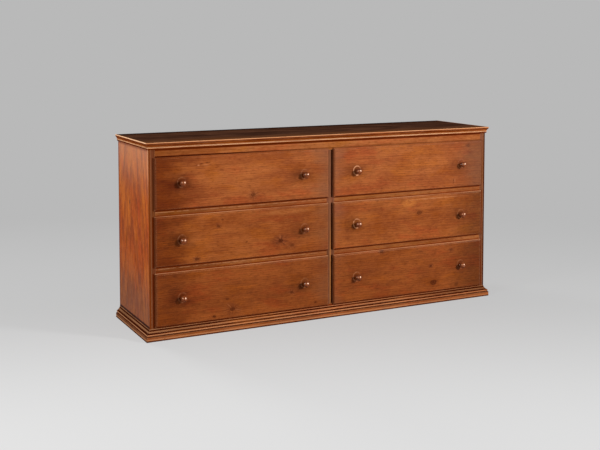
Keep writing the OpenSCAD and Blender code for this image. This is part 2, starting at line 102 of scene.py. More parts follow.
def cloud(tree, where, size, detail=3.0, rough=0.5):
    """A soft uneven pattern whose patches have the given size in mm along, across and into the board."""
    scaled = put(tree, "VectorMath", where, size, operation="DIVIDE")
    noise = {"Vector": scaled, "Scale": 1.0, "Detail": detail, "Roughness": rough}
    return put(tree, "TexNoise", sockets=noise)


def off_from(tree, home, spot, size):
    """How far a place on the board's face lies from a spot, counted in the given half sizes in mm."""
    off = put(tree, "VectorMath", home, (spot[0], spot[1], 0), operation="SUBTRACT")
    flat = put(tree, "VectorMath", off, (1 / size[0], 1 / size[1], 0), operation="MULTIPLY")
    return put(tree, "VectorMath", flat, operation="LENGTH", out="Value"), flat


def beside(tree, value, line, reach, core=0.0):
    """1 on a line and over its core, fading out on both sides over the reach in mm."""
    gap = put(tree, "Math", put(tree, "Math", value, line, operation="SUBTRACT"), operation="ABSOLUTE")
    return put(tree, "MapRange", gap, core, reach, 1.0, 0.0, **EASED)


def facing(tree, way, low=0.3, high=0.8):
    """1 where a surface faces the given direction, 0 where it doesn't."""
    normal = put(tree, "NewGeometry", out="Normal")
    share = put(tree, "VectorMath", normal, way, operation="DOT_PRODUCT", out="Value")
    return put(tree, "MapRange", share, low, high, **EASED)


def cut_across(tree, along):
    """1 where a surface cuts across the grain and shows end grain."""
    parts = put(tree, "SeparateXYZ", put(tree, "NewGeometry", out="Normal"), out=None)
    return put(tree, "MapRange", put(tree, "Math", parts[along], operation="ABSOLUTE"), 0.7, 0.95, **EASED)


def edges_and_hollows(tree, reach, depth, alone):
    """How far a place is an outer edge and a dirty hollow, and its rounded normal; reach and depth in m."""
    # The rounded normal turns 6 degrees from the true one at the start of an edge and 26 degrees on it
    soft = put(tree, "Bevel", sockets={"Radius": reach}, samples=6)
    sharp = put(tree, "NewGeometry", out="Normal")
    same = put(tree, "VectorMath", soft, sharp, operation="DOT_PRODUCT", out="Value")
    sky = put(tree, "AmbientOcclusion", sockets={"Distance": depth}, samples=6, only_local=alone, out="AO")
    turned = put(tree, "MapRange", same, 0.995, 0.90, **EASED)
    edge = put(tree, "Math", turned, put(tree, "MapRange", sky, 0.6, 0.92, **EASED), operation="MULTIPLY")
    return edge, put(tree, "MapRange", sky, 0.86, 0.42, **EASED), soft


# How far the rings drift across a board in mm, how far round a knot they bend, in half widths of the knot
# along and across, and how much of the way round it the nearest ones go
DRIFT, BEND_ALONG, BEND_ACROSS, BEND_SHARE = 26.0, 4.2, 2.6, 0.85


def growth_rings(tree, where, rings, knots):
    """Dark latewood lines of a flat-sawn board, from 0 to 1, that run round its knots. rings is (the heart's
    place across the board, its depth under the face, the width of a ring, how much deeper the heart gets
    along the board)."""
    side, deep, width, lean = rings
    parts = put(tree, "SeparateXYZ", where, out=None)
    drift = cloud(tree, where, (620, 150, 150), 2.0)
    across = put(tree, "Math", drift, DRIFT, parts[1], operation="MULTIPLY_ADD")
    for knot in knots:
        far, _ = off_from(tree, where, knot[:2], (knot[2] * BEND_ALONG, knot[2] * BEND_ACROSS))
        near = put(tree, "MapRange", far, 0.0, 1.0, BEND_SHARE, 0.0, **EASED)
        off = put(tree, "Math", knot[1], across, operation="SUBTRACT")
        across = put(tree, "Math", off, near, across, operation="MULTIPLY_ADD")
    level = put(tree, "Math", parts[0], lean, deep, operation="MULTIPLY_ADD")
    over = put(tree, "Math", parts[2], level, operation="ADD")
    ray = put(tree, "CombineXYZ", put(tree, "Math", across, side, operation="SUBTRACT"), over)
    radius = put(tree, "VectorMath", ray, operation="LENGTH", out="Value")
    years = put(tree, "Math", radius, 1 / width, operation="MULTIPLY")
    # Rings wander by whole years along the board, and by parts of a year from place to place
    for size, wander in (((900, 30, 30), 1.6), ((110, 5, 5), 0.3)):
        years = put(tree, "Math", cloud(tree, where, size, 2.0), wander, years, operation="MULTIPLY_ADD")
    # Each year darkens slowly into its latewood and ends at once
    turn = put(tree, "Math", years, operation="FRACT")
    ends = put(tree, "MapRange", turn, 0.88, 1.0, 1.0, 0.0, **EASED)
    return put(tree, "Math", put(tree, "MapRange", turn, 0.3, 0.86, **EASED), ends, operation="MULTIPLY")


# Stained pine: planed boards under a red-brown stain and thin rubbed shellac. It gives the eye a warm reddish
# ground with soft darker latewood lines, streaks and clouds, dark hand grime, and paler wood where edges have
# worn through.
# The worn and grime colours also serve as painted highlights and painted shade, and the near-black one as a
# painted deep shadow
WORN_AND_HIGHLIGHT, GRIME_AND_SHADE, DEEP_SHADE, BARE, BARE_DARK, END_GRAIN = "DCA072", "581C00", "200600", "C79F6C", "A67C4C", "80592F"
KNOT, KNOT_RAY, KNOT_PALE = "421600", "602C12", "B8744A"
KNOT_FLATNESS = 0.68
# Multiplied over the stain: where it has gone golden or reddish, is dark with hands, and is dull with dust
# or with painted shade
GOLDEN, REDDISH, HANDLED, DUST_AND_SHADE = "FFF8C4", "FFE4E0", "B89C60", "C6C6C6"


def lay_knots(tree, colour, where, knots):
    """Lays knots over the wood: outline, heart and the shade round them, and rays and pale wood on some."""
    ragged = put(tree, "Math", cloud(tree, where, (7, 5, 7), 2.0), 0.5, operation="SUBTRACT")
    for along, across, size, depth, rays in knots:
        even, flat = off_from(tree, where, (along, across), (size, size * KNOT_FLATNESS))
        far = put(tree, "Math", ragged, 0.9, even, operation="MULTIPLY_ADD")
        colour = coat(tree, colour, KNOT, put(tree, "MapRange", far, 0.8, 2.4, depth * 0.34, 0.0, **EASED))
        if rays:
            way = put(tree, "VectorMath", flat, operation="NORMALIZE")
            bent = put(tree, "Math", ragged, 0.3, along * 0.1 + across * 0.03, operation="MULTIPLY_ADD")
            way = put(tree, "VectorMath", way, put(tree, "CombineXYZ", bent, bent), operation="ADD")
            noise = {"Vector": way, "Scale": 3.8, "Detail": 2.0, "Roughness": 0.7}
            spokes = put(tree, "TexNoise", sockets=noise)
            fade = put(tree, "MapRange", far, 1.6, rays, depth, 0.0, **EASED)
            pale_ray = put(tree, "MapRange", spokes, 0.46, 0.36, **EASED)
            colour = coat(tree, colour, KNOT_PALE, pale_ray, fade, 0.3)
            dark_ray = put(tree, "MapRange", spokes, 0.46, 0.56, 0.15, 1.0, **EASED)
            colour = coat(tree, colour, KNOT_RAY, dark_ray, fade)
        colour = coat(tree, colour, KNOT, beside(tree, far, 0.85, 0.32), depth)
        heart = put(tree, "MapRange", far, 0.15, 0.75, depth, depth * 0.4, **EASED)
        colour = coat(tree, colour, KNOT, heart, put(tree, "MapRange", far, 0.8, 1.1, 1.0, 0.0, **EASED))
    return colour


def stained_pine(
    name, along, across, tones, shift, rings, knots=(), figure=0.5, streaks=0.6, mottled=5, wear=0.6,
    unworn=None, hollow_grime=0.7, alone=True, shade=None, bare=None, specular=0.06,
):
    """tones are (light, middle, dark); figure, streaks, wear and hollow_grime are amounts from 0 to 1;
    mottled is the height of the mottles in mm; shade paints the face's own marks; bare and unworn tell where
    the stain and the wear end; alone keeps neighbours from counting as the walls of a hollow."""
    material, tree = start(name)
    where, home, xyz = board_place(tree, along, across, shift)
    light, middle, dark = tones
    own_knots = [(a + shift[0], c + shift[1], *rest) for a, c, *rest in knots]
    late = growth_rings(tree, where, rings, own_knots)
    # Patterns by their size in mm, along, across and into the board. Single fibres are 0.03 mm wide: drawn at
    # 1.3 mm, so that they show at arm's length
    fibre = cloud(tree, where, (60, 1.3, 1.3), 4.0, 0.65)
    fleck = cloud(tree, where, (16, 1.1, 3), 1.0)
    mottle = cloud(tree, where, (22, mottled, 9), 2.0, 0.7)
    streak = cloud(tree, where, (190, 5, 8), 5.0, 0.68)
    band = cloud(tree, where, (520, 20, 40), 3.0, 0.6)
    patch = cloud(tree, where, (240, 90, 200), 3.0, 0.6)
    blot = cloud(tree, where, (60, 30, 60), 5.0, 0.65)
    hue = cloud(tree, where, (190, 80, 140), 3.0, 0.6)
    lined = put(tree, "MapRange", blot, 0.38, 0.6, 0.1, 1.0, **EASED)
    figured = put(tree, "MapRange", patch, 0.3, 0.7, 0.8 * figure, 0.4 * figure, **EASED)
    colour = coat(tree, middle, light, put(tree, "MapRange", patch, 0.36, 0.64, **EASED))
    colour = coat(tree, colour, GOLDEN, put(tree, "MapRange", hue, 0.5, 0.68, **EASED), way="MULTIPLY")
    colour = coat(tree, colour, REDDISH, put(tree, "MapRange", hue, 0.5, 0.32, **EASED), way="MULTIPLY")
    # Each coat: colour, pattern, its values where the coat starts and is full, the full amount, and its place
    for paint, pattern, low, high, full, share in (
        (dark, band, 0.46, 0.66, 0.5 * streaks, 1.0),
        (dark, streak, 0.5, 0.66, 0.8 * streaks, lined),
        (light, streak, 0.48, 0.34, 0.6 * streaks, lined),
        (dark, late, 0.0, 1.0, 1.0, figured),
        (dark, blot, 0.52, 0.76, 0.45, 1.0),
        (light, blot, 0.46, 0.26, 0.4, 1.0),
        (dark, mottle, 0.5, 0.72, 0.55, 1.0),
        (light, mottle, 0.46, 0.26, 0.5, 1.0),
        (dark, fibre, 0.42, 0.68, 0.45, 1.0),
        (GRIME_AND_SHADE, fleck, 0.64, 0.72, 0.55, 1.0),
    ):
        amount = put(tree, "MapRange", pattern, low, high, 0.0, full, **EASED)
        colour = coat(tree, colour, paint, amount, share)
    if knots:
        colour = lay_knots(tree, colour, where, own_knots)
    place = {"home": home, "x": xyz[X], "y": xyz[Y], "z": xyz[Z]}
    place.update(blot=blot, patch=patch, streak=streak, mottle=mottle, late=late)
    if shade:
        colour = shade(tree, colour, place)
    edge, hollow, rounded = edges_and_hollows(tree, 0.003, 0.007, alone)
    colour = coat(tree, colour, GRIME_AND_SHADE, hollow, hollow_grime)
    patchy = put(tree, "MapRange", cloud(tree, where, (48, 9, 9), 3.0, 0.65), 0.36, 0.6, 0.1, 1.0, **EASED)
    colour = coat(tree, colour, WORN_AND_HIGHLIGHT, edge, patchy, wear, unworn(tree) if unworn else 1.0)
    uneven = put(tree, "Math", fibre, blot, operation="MAXIMUM")
    rough = put(tree, "MapRange", uneven, 0.3, 0.75, 0.34, 0.56, **EASED)
    if bare:
        inside = bare(tree, place)
        pale = coat(tree, BARE, BARE_DARK, late, 0.45)
        pale = coat(tree, pale, BARE_DARK, put(tree, "MapRange", blot, 0.4, 0.7, 0.0, 0.45, **EASED))
        pale = coat(tree, pale, END_GRAIN, cut_across(tree, along), 0.8)
        colour = coat(tree, colour, pale, inside)
        rough = put(tree, "Math", inside, 0.25, rough, operation="MULTIPLY_ADD")
    # The surface in units of 0.4 mm: fibres, latewood that has sunk a little, and dents
    height = put(tree, "Math", fibre, 0.3, operation="MULTIPLY")
    height = put(tree, "Math", late, -0.3, height, operation="MULTIPLY_ADD")
    height = put(tree, "Math", cloud(tree, where, (60, 28, 28), 2.0), 1.4, height, operation="MULTIPLY_ADD")
    bump = {"Strength": 1.0, "Distance": 0.0004, "Height": height, "Normal": rounded}
    relief = put(tree, "Bump", sockets=bump)
    finish = {"Base Color": colour, "Roughness": rough, "Normal": relief}
    finish.update({"IOR": WOOD_IOR, "Specular IOR Level": specular})
    put(tree, "OutputMaterial", put(tree, "BsdfPrincipled", sockets=finish))
    return material


def dress(names, material):
    """Gives the material to CAD nodes."""
    for name in names:
        nodes[name].data.materials.clear()
        nodes[name].data.materials.append(material)


# Knots that the photograph shows, as (x, height, half width, darkness, length of rays), and other marks, as
# (x, height, half width, half height, amount, colour), all in mm on the faces of the drawers
KNOTS = {
    "upper_left": [(-388, 590, 10, 0.65, 4.0)],
    "middle_left": [
        (-256, 375, 11, 1.0, 5.2), (-201, 350, 8, 0.5, 4.0), (-552, 465, 7, 0.6, 3.0),
        (-533, 492, 5, 0.45, 0), (-652, 331, 8, 0.75, 3.0), (-420, 385, 5, 0.5, 0),
    ],
    "lower_left": [
        (-489, 95, 11, 0.72, 5.2), (-512, 142, 6, 0.6, 0), (-81, 78, 6, 0.7, 0), (-201, 137, 7, 0.6, 4.0),
        (-574, 73, 7, 0.8, 0),
    ],
    "upper_right": [(755, 752, 9, 0.5, 3.0)],
    "middle_right": [(475, 444, 13, 0.6, 0)],
    "lower_right": [
        (558, 99, 17, 0.9, 0), (268, 276, 10, 0.75, 2.6), (543, 181, 6, 0.9, 3.0), (659, 250, 8, 0.5, 3.0),
        (692, 76, 11, 0.4, 0),
    ],
}
MARKS = {
    "upper_left": [
        (-612, 733, 24, 3.4, 0.45, "B87446"), (-642, 733, 7, 3.6, 0.45, "D08C60"),
        (-626, 738, 16, 3.6, 0.9, "4A1A04"), (-600, 742, 16, 3.4, 0.8, "501E06"),
        (-588, 734, 10, 3.0, 0.7, "5A2408"),
    ],
    "upper_right": [(671, 583, 2.8, 16, 0.9, "4A1A04"), (678, 586, 3.0, 12, 0.4, "D08A58")],
    "middle_left": [(-230, 504, 170, 16, 0.32, "B8743C")],
    "middle_right": [(415, 494, 52, 24, 0.4, "C87A34"), (560, 508, 190, 5, 0.35, "C88A5C")],
}
# Ends of the drawer faces, by row: how dark hands have made the left bank's outer end, how dusty its inner
# end and the right bank's inner end are, and how dull and how dusty the right bank's outer end is
ENDS = {
    "upper": (1.0, 0.25, 0.25, 0.95, 0.22),
    "middle": (0.85, 0.12, 0.28, 1.15, 0.0),
    "lower": (0.5, 0.12, 0.15, 1.25, 0.0),
}
# How far the right bank's inner knobs have rubbed a ring, and how far any other has
RUBBED_RINGS, OTHER_RINGS = {"upper": 0.85, "middle": 0.6, "lower": 0.25}, 0.15
# How dark the fingers' smudge round a knob is, by bank
SMUDGES = {"left": 0.85, "right": 0.6}
# How far the lips' upper edges are rubbed pale and lit by a painted highlight, by row
LIP_WEAR_AND_HIGHLIGHT = {"upper": 0.05, "middle": 0.6, "lower": 0.6}
INNER_DUST, OUTER_DUST, SMUDGE, RING = "8A6048", "7A5644", "3A1200", "C68A62"
END_SHADOW, LIP_SHADOW = "5A3420", "4A1E08"


def behind_lip(tree, place):
    """The part of a drawer front that the stain never reached."""
    return put(tree, "MapRange", place["y"], FRONT_Y - 0.2, FRONT_Y + 0.6, **EASED)


def drawer_face(row, bank):
    """Shades a drawer's face: ends, grime and rubbed rings at knobs, worn lips with painted highlight and
    shade.
    """
    low, high = corners(f"{row}_{bank}_drawer_front")
    knob_low, knob_high = corners(f"{row}_{bank}_drawer_knobs")
    knob_radius = (knob_high.z - knob_low.z) / 2
    knob_z, knobs_x = (low.z + high.z) / 2, (knob_low.x + knob_radius, knob_high.x - knob_radius)
    handled, left_dust, right_dust, dull, outer_dust = ENDS[row]

    def shade(tree, colour, place):
        # The ends fade into the middle along a wavy border. The patches add some 130 mm to x, which the
        # places below allow for
        wavy = put(tree, "Math", place["patch"], 260.0, place["x"], operation="MULTIPLY_ADD")
        if bank == "left":
            outer = put(tree, "MapRange", wavy, low.x + 370, low.x + 160, **EASED)
            inner = put(tree, "MapRange", wavy, high.x + 20, high.x + 150, **EASED)
            colour = coat(tree, colour, HANDLED, outer, handled, way="MULTIPLY")
            colour = coat(tree, colour, DUST_AND_SHADE, inner, 0.6, way="MULTIPLY")
            colour = coat(tree, colour, INNER_DUST, inner, left_dust)
            colour = coat(tree, colour, END_SHADOW, beside(tree, place["x"], low.x, 16.0), 0.45)
        else:
            outer = put(tree, "MapRange", wavy, high.x - 90, high.x + 140, **EASED)
            inner = put(tree, "MapRange", wavy, low.x + 190, low.x + 90, **EASED)
            colour = coat(tree, colour, DUST_AND_SHADE, outer, dull, way="MULTIPLY")
            colour = coat(tree, colour, OUTER_DUST, outer, outer_dust)
            colour = coat(tree, colour, INNER_DUST, inner, right_dust)
            colour = coat(tree, colour, END_SHADOW, beside(tree, place["x"], high.x, 16.0), 0.55)
        uneven = put(tree, "MapRange", place["blot"], 0.3, 0.62, 0.35, 1.0, **EASED)
        broken = put(tree, "MapRange", place["mottle"], 0.4, 0.54, 0.1, 1.0, **EASED)
        for knob_x in knobs_x:
            # A wide faint smudge and a small dark one, both a little to the left of the knob
            for drift, wide, tall, amount in ((-18, 96, 60, 0.75), (-8, 32, 25, 1.0)):
                far, _ = off_from(tree, place["home"], (knob_x + drift, knob_z - 3), (wide, tall))
                smudge = put(tree, "MapRange", far, 0.0, 1.0, SMUDGES[bank] * amount, 0.0, **EASED)
                colour = coat(tree, colour, SMUDGE, smudge, uneven)
            # A pale ring that the fingers have rubbed, broken, and weaker to the right of the knob
            ring, _ = off_from(tree, place["home"], (knob_x - 1, knob_z + 3), (19, 21))
            rubbed = RUBBED_RINGS[row] if bank == "right" and knob_x == knobs_x[0] else OTHER_RINGS
            gaps = cloud(tree, place["home"], (9, 9, 9), 1.0)
            gaps = put(tree, "MapRange", gaps, 0.38, 0.5, 0.3, 1.0, **EASED)
            weaker = put(tree, "MapRange", place["x"], knob_x + 16, knob_x, 0.25, 1.0)
            colour = coat(tree, colour, RING, beside(tree, ring, 1.0, 0.2, 0.04), gaps, weaker, rubbed)
        for x, z, wide, tall, amount, paint in MARKS.get(f"{row}_{bank}", ()):
            far, _ = off_from(tree, place["home"], (x, z), (wide, tall))
            mark = put(tree, "MapRange", far, 0.3, 1.1, amount, 0.0, **EASED)
            colour = coat(tree, colour, paint, mark, broken)
        # Wear and painted highlights on the lips' upper edges and upper faces, faint on the upper row
        kept = LIP_WEAR_AND_HIGHLIGHT[row]
        lit = put(tree, "MapRange", place["streak"], 0.36, 0.56, 0.2 * kept, kept, **EASED)
        colour = coat(tree, colour, WORN_AND_HIGHLIGHT, beside(tree, place["z"], high.z, 3.0, 1.0), lit, 0.3)
        colour = coat(tree, colour, WORN_AND_HIGHLIGHT, beside(tree, place["z"], low.z + 3.0, 2.8, 0.8), broken, 0.14)
        colour = coat(tree, colour, WORN_AND_HIGHLIGHT, facing(tree, (0, 0, 1), 0.7, 0.95), lit)
        # Painted shade on the lips' undersides
        colour = coat(tree, colour, GRIME_AND_SHADE, facing(tree, (0, 0, -1), 0.1, 0.5))
        return coat(tree, colour, LIP_SHADOW, facing(tree, (-1, 0, 0), 0.3, 0.9), 0.45)

    return shade


# The stain on each row of drawers as (light, middle, dark), darkened from the top down by painted shade
ROW_TONES = {
    "upper": ("A25B2B", "8E4920", "642B0D"),
    "middle": ("9B5525", "87441A", "5D280A"),
    "lower": ("904B1E", "7F3F17", "562508"),
}
for row, tones in ROW_TONES.items():
    for number, bank in enumerate(BANKS):
        # Each front has its own place in the wood, with the heart of its tree some way below its lower edge
        low_z = corners(f"{row}_{bank}_drawer_front")[0].z
        shift = (1730 * number + 811, 53 * low_z, 0)
        heart = shift[1] + low_z - 210 + 90 * number
        dress([f"{row}_{bank}_drawer_front"], stained_pine(
            f"stained pine {row} {bank} drawer", X, Z, tones, shift, rings=(heart, 300, 8.5, 0.03),
            knots=KNOTS[f"{row}_{bank}"], shade=drawer_face(row, bank), bare=behind_lip, figure=0.4,
            streaks=0.42, wear=0.22,
        ))


SIDE_TONES = ("B25C14", "9E440C", "702C06")
# A painted sheen and dust, added to the stain; dirt over the base; and the front edges, the right last
PAINTED_SHEEN, PALE_DUST, BASE_DIRT, EDGE_TONES = "545043", "2E2C28", "300A00", ("7A3810", "562408", "3A1A0A")


def side_face(tree, colour, place):
    """Painted sheen up high, dusty and scuffed low, a rubbed front corner with painted highlight, dark front
    edge.
    """
    uneven = put(tree, "Math", place["blot"], 140.0, place["z"], operation="MULTIPLY_ADD")
    sheened = put(tree, "MapRange", uneven, 630, 900, **EASED)
    low_part = put(tree, "MapRange", uneven, 430, 170, **EASED)
    # Painted sheen: the upper part of the side lighter
    colour = coat(tree, colour, PAINTED_SHEEN, sheened, way="ADD")
    colour = coat(tree, colour, DUST_AND_SHADE, low_part, way="MULTIPLY")
    colour = coat(tree, colour, PALE_DUST, low_part, way="ADD")
    colour = coat(tree, colour, GRIME_AND_SHADE, beside(tree, place["z"], SIDE_TOP_Z - 12, 12.0), 0.6)
    colour = coat(tree, colour, BASE_DIRT, beside(tree, place["z"], BASE_TOP_Z + 3, 9.0, 4.5))
    colour = coat(tree, colour, GRIME_AND_SHADE, beside(tree, place["y"], TOP_BACK_Y, 16.0, 6.0), 0.7)
    high_up = put(tree, "MapRange", uneven, 640, 800, 0.05, 0.9, **EASED)
    broken = put(tree, "MapRange", place["streak"], 0.35, 0.5, 0.5, 1.0, **EASED)
    # Wear and a painted highlight along the front corner, strongest high up
    colour = coat(tree, colour, WORN_AND_HIGHLIGHT, beside(tree, place["y"], FRONT_Y, 8.0, 3.0), high_up, broken)
    front_edge = coat(tree, EDGE_TONES[0], EDGE_TONES[1], place["streak"])
    front_edge = coat(tree, front_edge, EDGE_TONES[2], put(tree, "MapRange", place["x"], 0, 100, 0.0, 0.8))
    return coat(tree, colour, front_edge, facing(tree, (0, -1, 0)))


def not_in_front(tree):
    """Everywhere but on faces that look to the front."""
    return facing(tree, (0, 1, 0), -0.8, -0.3)


def inner_case(tree, place):
    """Faces inside the case, behind the edge that shows beside the stiles, which were left bare."""
    out = put(tree, "Math", place["x"], operation="ABSOLUTE")
    return put(tree, "MapRange", out, CASE_X - EDGE_SHOWN - 0.2, CASE_X - EDGE_SHOWN - 0.6, **EASED)


dress(["left_side", "right_side"], stained_pine(
    "stained pine side boards", Z, Y, SIDE_TONES, (0, 40, 0), rings=(104, 200, 12.0, -0.05),
    knots=[(553, 67, 5, 0.9, 4.5)], figure=1.0, streaks=0.65, mottled=9, shade=side_face, bare=inner_case,
    wear=0.2, unworn=not_in_front, specular=0.02,
))


RAIL_TONES, LIP_SHADE_AND_DIRT, TOP_LIP_SHADE_AND_DIRT = ("A86638", "95532A", "6D3412"), "6A2400", "3C0C00"


def rail_face(tree, colour, place):
    """Dirt and painted shadow lines where the drawer lips lie against the rails, painted shade on the lower
    rails.
    """
    broken = put(tree, "MapRange", place["streak"], 0.35, 0.55, 0.6, 1.0, **EASED)
    lit = put(tree, "MapRange", place["mottle"], 0.38, 0.56, **EASED)
    left_bank = put(tree, "MapRange", place["x"], 100, -200, 0.06, 0.28, **EASED)
    # Painted shade: the rails darker lower down
    low_part = put(tree, "MapRange", place["z"], 560, 540, 0.0, 0.5, **EASED)
    left_end = put(tree, "MapRange", place["x"], -480, -760, 0.0, 0.6, **EASED)
    colour = coat(tree, colour, DUST_AND_SHADE, low_part, way="MULTIPLY")
    colour = coat(tree, colour, HANDLED, left_end, way="MULTIPLY")
    # Under each lip a painted shadow with dirt, and above each lip's top a painted dark line with dirt
    for row, (low, high) in zip(ROWS, LIPS):
        if row == "upper":
            fading = put(tree, "MapRange", place["x"], -500, -50, 1.0, 0.4)
            colour = coat(tree, colour, TOP_LIP_SHADE_AND_DIRT, beside(tree, place["z"], high + 2.2, 4.2, 2.2), fading)
        else:
            colour = coat(tree, colour, LIP_SHADE_AND_DIRT, beside(tree, place["z"], high + 2.2, 3.4, 1.6), broken, 0.9)
        colour = coat(tree, colour, LIP_SHADE_AND_DIRT, beside(tree, place["z"], low - 1.0, 4.2, 1.8))
        colour = coat(tree, colour, WORN_AND_HIGHLIGHT, beside(tree, place["z"], low - 8.0, 2.8, 0.8), lit, left_bank)
    # A painted shadow under the top moulding
    return coat(tree, colour, GRIME_AND_SHADE, beside(tree, place["z"], TOP_LOW_Z - 12.0, 5.0, 2.5))


BANK_RAILS = [f"{level}_rail_{bank}" for level in ("upper", "lower") for bank in BANKS]
dress(["top_rail", "bottom_rail"] + BANK_RAILS, stained_pine(
    "stained pine rails", X, Z, RAIL_TONES, (90, 400, 0), rings=(200, 400, 7.0, 0.02), shade=rail_face,
    wear=0.15, hollow_grime=0.0, specular=0.02,
))


def in_rows(tree, height, margin):
    """1 at the heights that the drawer lips cover, 0 at the rails."""
    covered = 0.0
    for low, high in LIPS:
        above = put(tree, "MapRange", height, low - margin, low + margin, **EASED)
        below = put(tree, "MapRange", height, high - margin, high + margin, 1.0, 0.0, **EASED)
        within = put(tree, "Math", above, below, operation="MULTIPLY")
        covered = put(tree, "Math", covered, within, operation="MAXIMUM")
    return covered


STILE_TONES = ("7C4C36", "6A3F2A", "4C2A18")
# The left stile's dull stain, the outer stiles' rubbed edge and painted shade with dirt beside the lips, and
# the bar between the banks, dusty above, rubbed below and with a painted black shadow
LEFT_STILE, STILE_EDGE, STILE_SHADE_AND_DIRT, BAR_DUST, BAR_RUBBED = "5C2C12", "8E5C3C", "5A1C00", "7A5038", "A06634"


def stile_face(tree, colour, place):
    """Rubbed outer edges, dirt and painted shade beside the drawer lips, and a painted black shadow between
    banks.
    """
    out = put(tree, "Math", place["x"], operation="ABSOLUTE")
    covered = in_rows(tree, place["z"], 1.5)
    outer = put(tree, "MapRange", out, 600, 700, **EASED)
    middle = put(tree, "MapRange", out, 40, 60, 1.0, 0.0, **EASED)
    colour = coat(tree, colour, LEFT_STILE, put(tree, "MapRange", place["x"], -600, -700, 0.0, 0.6, **EASED))
    colour = coat(tree, colour, STILE_EDGE, outer, beside(tree, out, STRIP_X - 2.5, 4.0, 1.5), 0.3)
    # Painted shade with some dirt on the outer stiles beside the drawer lips, lighter at the upper row
    lower_rows = put(tree, "MapRange", place["z"], 560, 530, 0.25, 0.75, **EASED)
    beside_lip = put(tree, "MapRange", out, STRIP_X - 6.5, STRIP_X - 4.0, 1.0, 0.0, **EASED)
    colour = coat(tree, colour, STILE_SHADE_AND_DIRT, outer, beside_lip, covered, lower_rows)
    colour = coat(tree, colour, BAR_DUST, middle, beside(tree, place["x"], -3.0, 6.5, 4.0), 0.6)
    rubbed_low = put(tree, "MapRange", place["z"], 500, 300, 0.0, 0.75, **EASED)
    colour = coat(tree, colour, BAR_RUBBED, middle, beside(tree, place["x"], 0.0, 4.0, 1.5), rubbed_low)
    # A painted black shadow between the banks, beside the right bank's lips
    return coat(tree, colour, DEEP_SHADE, middle, covered, beside(tree, place["x"], 5.7, 3.6, 2.8))


dress(["left_stile", "centre_stile", "right_stile"], stained_pine(
    "stained pine stiles", Z, X, STILE_TONES, (50, 900, 0), rings=(100, 300, 7.0, 0.02),
    shade=stile_face, wear=0.12, hollow_grime=0.0, specular=0.0,
))

# Lines along the mouldings, as (height in mm, half width, half width of the full core, amount, colour): dirt
# and painted shade lie in the steps and quirks, a painted highlight lies on the fillet, and hands and feet
# have rubbed the stain off the arrises, which carry painted highlights too
FILLET_HIGHLIGHT, SCUFFED, QUIRK_DIRT_AND_SHADE, FLOOR_DIRT_AND_SHADE = "F0B888", "784A30", "340A00", "2A0A00"
# Top moulding and board: painted shade under the square edge and under the bead, a painted highlight on the
# fillet
TOP_LINES = (
    (TOP_LOW_Z + 8, 6.5, 3.0, 0.6, GRIME_AND_SHADE), (TOP_LOW_Z + 13, 3.6, 2.2, 1.0, GRIME_AND_SHADE),
    (TOP_Z, 3.8, 2.0, 0.72, WORN_AND_HIGHLIGHT), (TOP_LOW_Z - 1.2, 2.8, 1.6, 1.0, FILLET_HIGHLIGHT),
    (TOP_LOW_Z - 7.5, 4.8, 3.0, 1.0, GRIME_AND_SHADE),
)
# Base: dirt and painted shade in the quirks, wear and painted highlights on the arrises, dirt and a painted
# contact shadow at the floor
BASE_LINES = (
    (BASE_TOP_Z - 1.5, 2.6, 1.0, 0.3, WORN_AND_HIGHLIGHT), (BASE_TOP_Z - 6.0, 3.6, 2.4, 1.0, QUIRK_DIRT_AND_SHADE),
    (BASE_TOP_Z - 12, 3.6, 1.8, 0.25, WORN_AND_HIGHLIGHT), (BASE_TOP_Z - 17, 3.6, 2.5, 1.0, QUIRK_DIRT_AND_SHADE),
    (BASE_TOP_Z - 23, 3.6, 1.6, 0.45, WORN_AND_HIGHLIGHT), (BASE_TOP_Z - 28.7, 3.4, 2.2, 0.95, QUIRK_DIRT_AND_SHADE),
    (13.0, 16.0, 8.0, 0.4, SCUFFED), (9.0, 4.2, 1.6, 0.3, WORN_AND_HIGHLIGHT), (0.0, 6.5, 4.0, 1.0, FLOOR_DIRT_AND_SHADE),
)
FRONT_MOULDING, SIDE_MOULDING = ("A85E2C", "8E481C", "662A0A"), ("7A4C34", "5E3A24", "3E2212")
HOLLOW_DARKENING = "42240F"


def moulding_face(tree, colour, place):
    """Worn arrises with painted highlights, quirks with dirt and painted shade, the base's hollow darker at
    both ends.
    """
    # The base's hollow darker at both ends
    over_bead = put(tree, "MapRange", place["z"], BASE_TOP_Z - 20, BASE_TOP_Z - 14, **EASED)
    on_base = put(tree, "MapRange", place["z"], 200, 100, **EASED)
    right_end = put(tree, "MapRange", place["x"], 200, 800, **EASED)
    left_end = put(tree, "MapRange", place["x"], -350, -750, 0.0, 0.9, **EASED)
    ends = put(tree, "Math", right_end, left_end, operation="MAXIMUM")
    colour = coat(tree, colour, HOLLOW_DARKENING, over_bead, on_base, ends, 0.75)
    rubbed = put(tree, "MapRange", place["x"], 200, 800, 1.0, 0.5, **EASED)
    broken = put(tree, "MapRange", place["streak"], 0.36, 0.56, 0.5, 1.0, **EASED)
    for line, reach, core, amount, paint in TOP_LINES + BASE_LINES:
        kept = rubbed if paint == WORN_AND_HIGHLIGHT and line <= BASE_TOP_Z else 1.0
        colour = coat(tree, colour, paint, beside(tree, place["z"], line, reach, core), broken, amount, kept)
    return colour


for label, along, tones, runs in (("front", X, FRONT_MOULDING, ["front"]), ("side", Y, SIDE_MOULDING, BANKS)):
    dress([f"{level}_moulding_{run}" for level in ("top", "base") for run in runs], stained_pine(
        f"worn stained pine {label} mouldings", along, Z, tones, (300, 250, 0), rings=(180, 240, 6.0, 0.02),
        shade=moulding_face, wear=0.35, hollow_grime=0.8, alone=False, specular=0.0,
    ))


